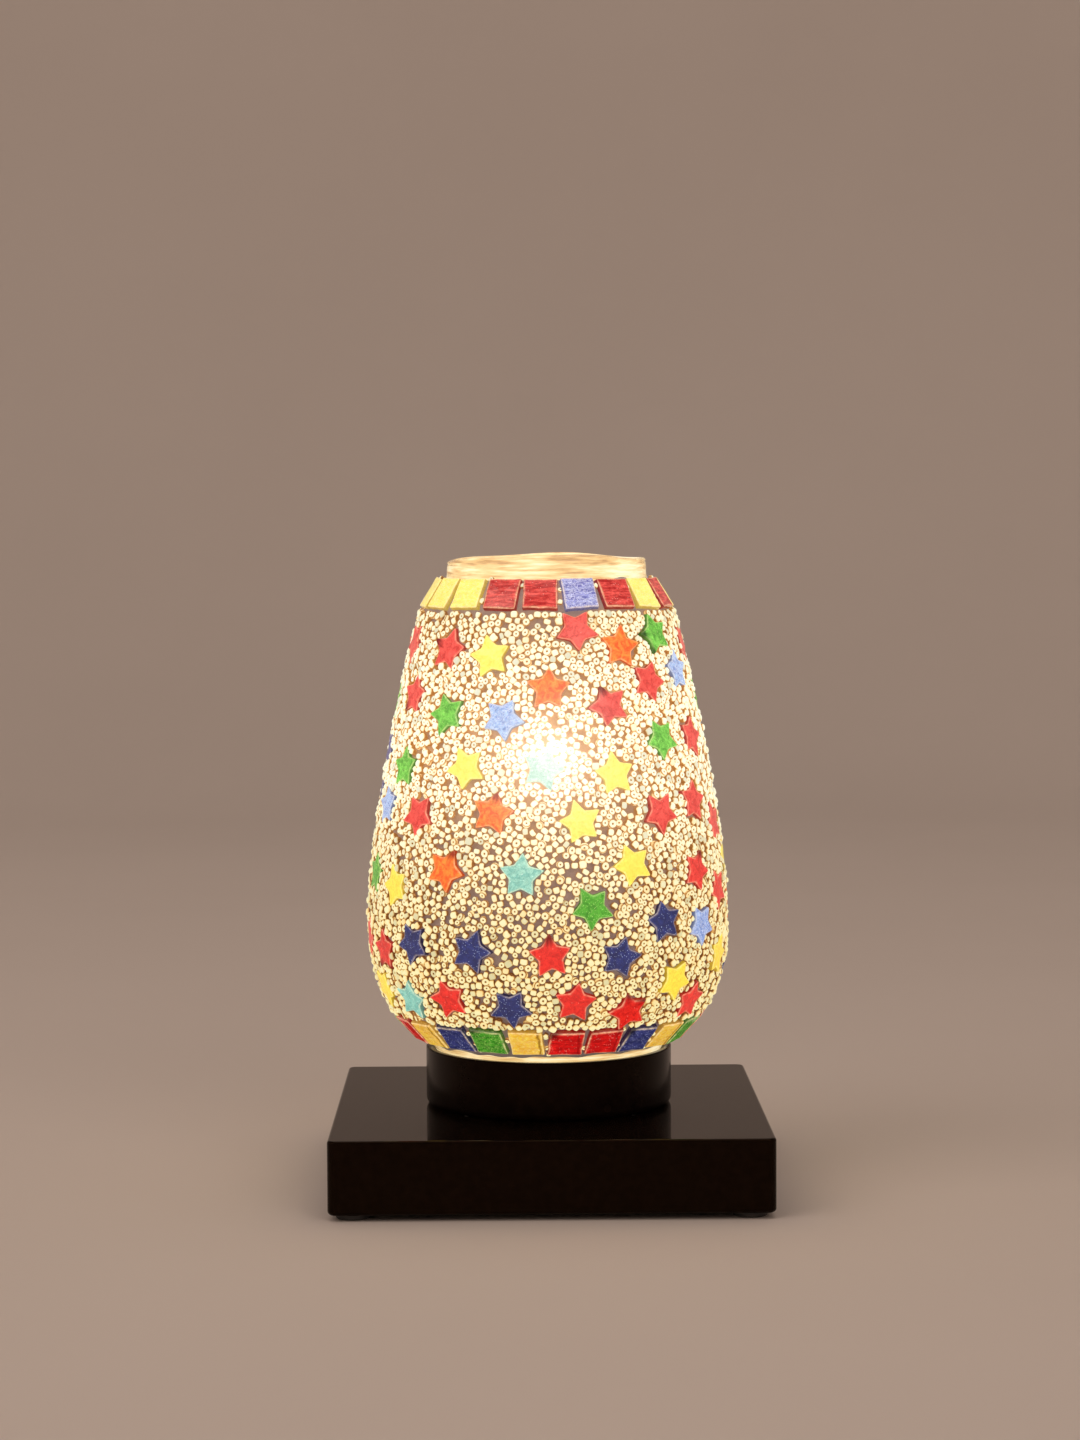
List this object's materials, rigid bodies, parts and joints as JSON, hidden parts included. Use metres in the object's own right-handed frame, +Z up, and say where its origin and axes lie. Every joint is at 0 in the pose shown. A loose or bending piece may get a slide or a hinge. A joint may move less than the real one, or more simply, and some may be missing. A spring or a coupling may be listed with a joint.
{
  "type": "mosaic glass table lamp",
  "caption": "Small table lamp with a barrel-shaped glass shade covered in seed beads, stars and square chips, on a turned collar and a square lacquered base.",
  "frame": {"origin": "on the table, under the middle of the square base", "axes": "+Z up along the lamp's axis, front towards -Y, +X to the viewer's right"},
  "size_m": [0.152, 0.152, 0.224],
  "materials": {
    "lacquered_wood": "glossy black-brown lacquer",
    "lacquered_collar": "satin black-brown lacquer",
    "zinc_steel": "zinc plated",
    "fibre_board": "raw fibre board",
    "rubber": "matte",
    "brass": "drawn, lightly tarnished",
    "phenolic": "moulded, glossy",
    "steatite": "fired, matte",
    "clear_glass": "clear, slightly uneven, bare lip",
    "grout": "matte grey cement",
    "bead_glass": "small translucent seed beads",
    "glass_red": "translucent coloured glass",
    "glass_orange": "translucent coloured glass",
    "glass_yellow": "translucent coloured glass",
    "glass_green": "glitter glass",
    "glass_mint": "frosted glass",
    "glass_navy": "glitter glass",
    "glass_blue": "veined translucent glass",
    "bulb_glass": "thin clear bulb glass",
    "nickel": "nickel plated",
    "solder": "soldered button",
    "black_glass": "black insulating glass",
    "tungsten": "glowing coiled wire"
  },
  "bodies": {
    "base": {"base_plate": "lacquered_wood", "base_collar": "lacquered_collar", "collar_screws": "zinc_steel", "bottom_cover": "fibre_board", "bottom_cover_screws": "zinc_steel", "foot_front_left": "rubber", "foot_front_right": "rubber", "foot_rear_left": "rubber", "foot_rear_right": "rubber", "cable_grommet": "rubber", "nipple_tube": "brass", "nipple_lower_washer": "zinc_steel", "nipple_lower_nut": "brass", "nipple_upper_washer": "zinc_steel", "nipple_upper_nut": "brass", "holder_lock_nut": "brass", "holder_cap": "phenolic", "holder_core": "steatite", "holder_shell": "phenolic", "screw_shell": "brass", "centre_contact": "brass", "holder_terminals": "brass", "terminal_screws": "zinc_steel", "holder_rivets": "brass"},
    "shade": {"shade_glass": "clear_glass", "grout_coat": "grout", "bead_coat": "bead_glass", "stars_red": "glass_red", "stars_orange": "glass_orange", "stars_yellow": "glass_yellow", "stars_green": "glass_green", "stars_mint": "glass_mint", "stars_navy": "glass_navy", "stars_blue": "glass_blue", "upper_tiles_red": "glass_red", "upper_tiles_yellow": "glass_yellow", "upper_tiles_blue": "glass_blue", "lower_tiles_red": "glass_red", "lower_tiles_yellow": "glass_yellow", "lower_tiles_green": "glass_green", "lower_tiles_navy": "glass_navy"},
    "bulb_foot": {"bulb_contact": "solder", "bulb_insulator": "black_glass"},
    "bulb": {"bulb_cap": "nickel", "bulb_glass": "bulb_glass", "bulb_stem": "bulb_glass", "bulb_lead_wires": "nickel", "bulb_support_wires": "nickel", "bulb_filament": "tungsten"}
  },
  "joints": [
    {"name": "shade_lift", "type": "slide", "parent": "base", "child": "shade", "axis": [0, 0, 1], "range_m": [0, 0.16]},
    {"name": "bulb_rise", "type": "slide", "parent": "base", "child": "bulb_foot", "axis": [0, 0, 1], "range_m": [0, 0.02]},
    {"name": "bulb_turn", "type": "hinge", "parent": "bulb_foot", "child": "bulb", "pos_m": [0, 0, 0.1], "axis": [0, 0, 1], "range_deg": [0, 1980]}
  ],
  "couplings": [
    {"joint": "bulb_rise", "follows": "bulb_turn", "m_per_rad": 0.00057757}
  ]
}
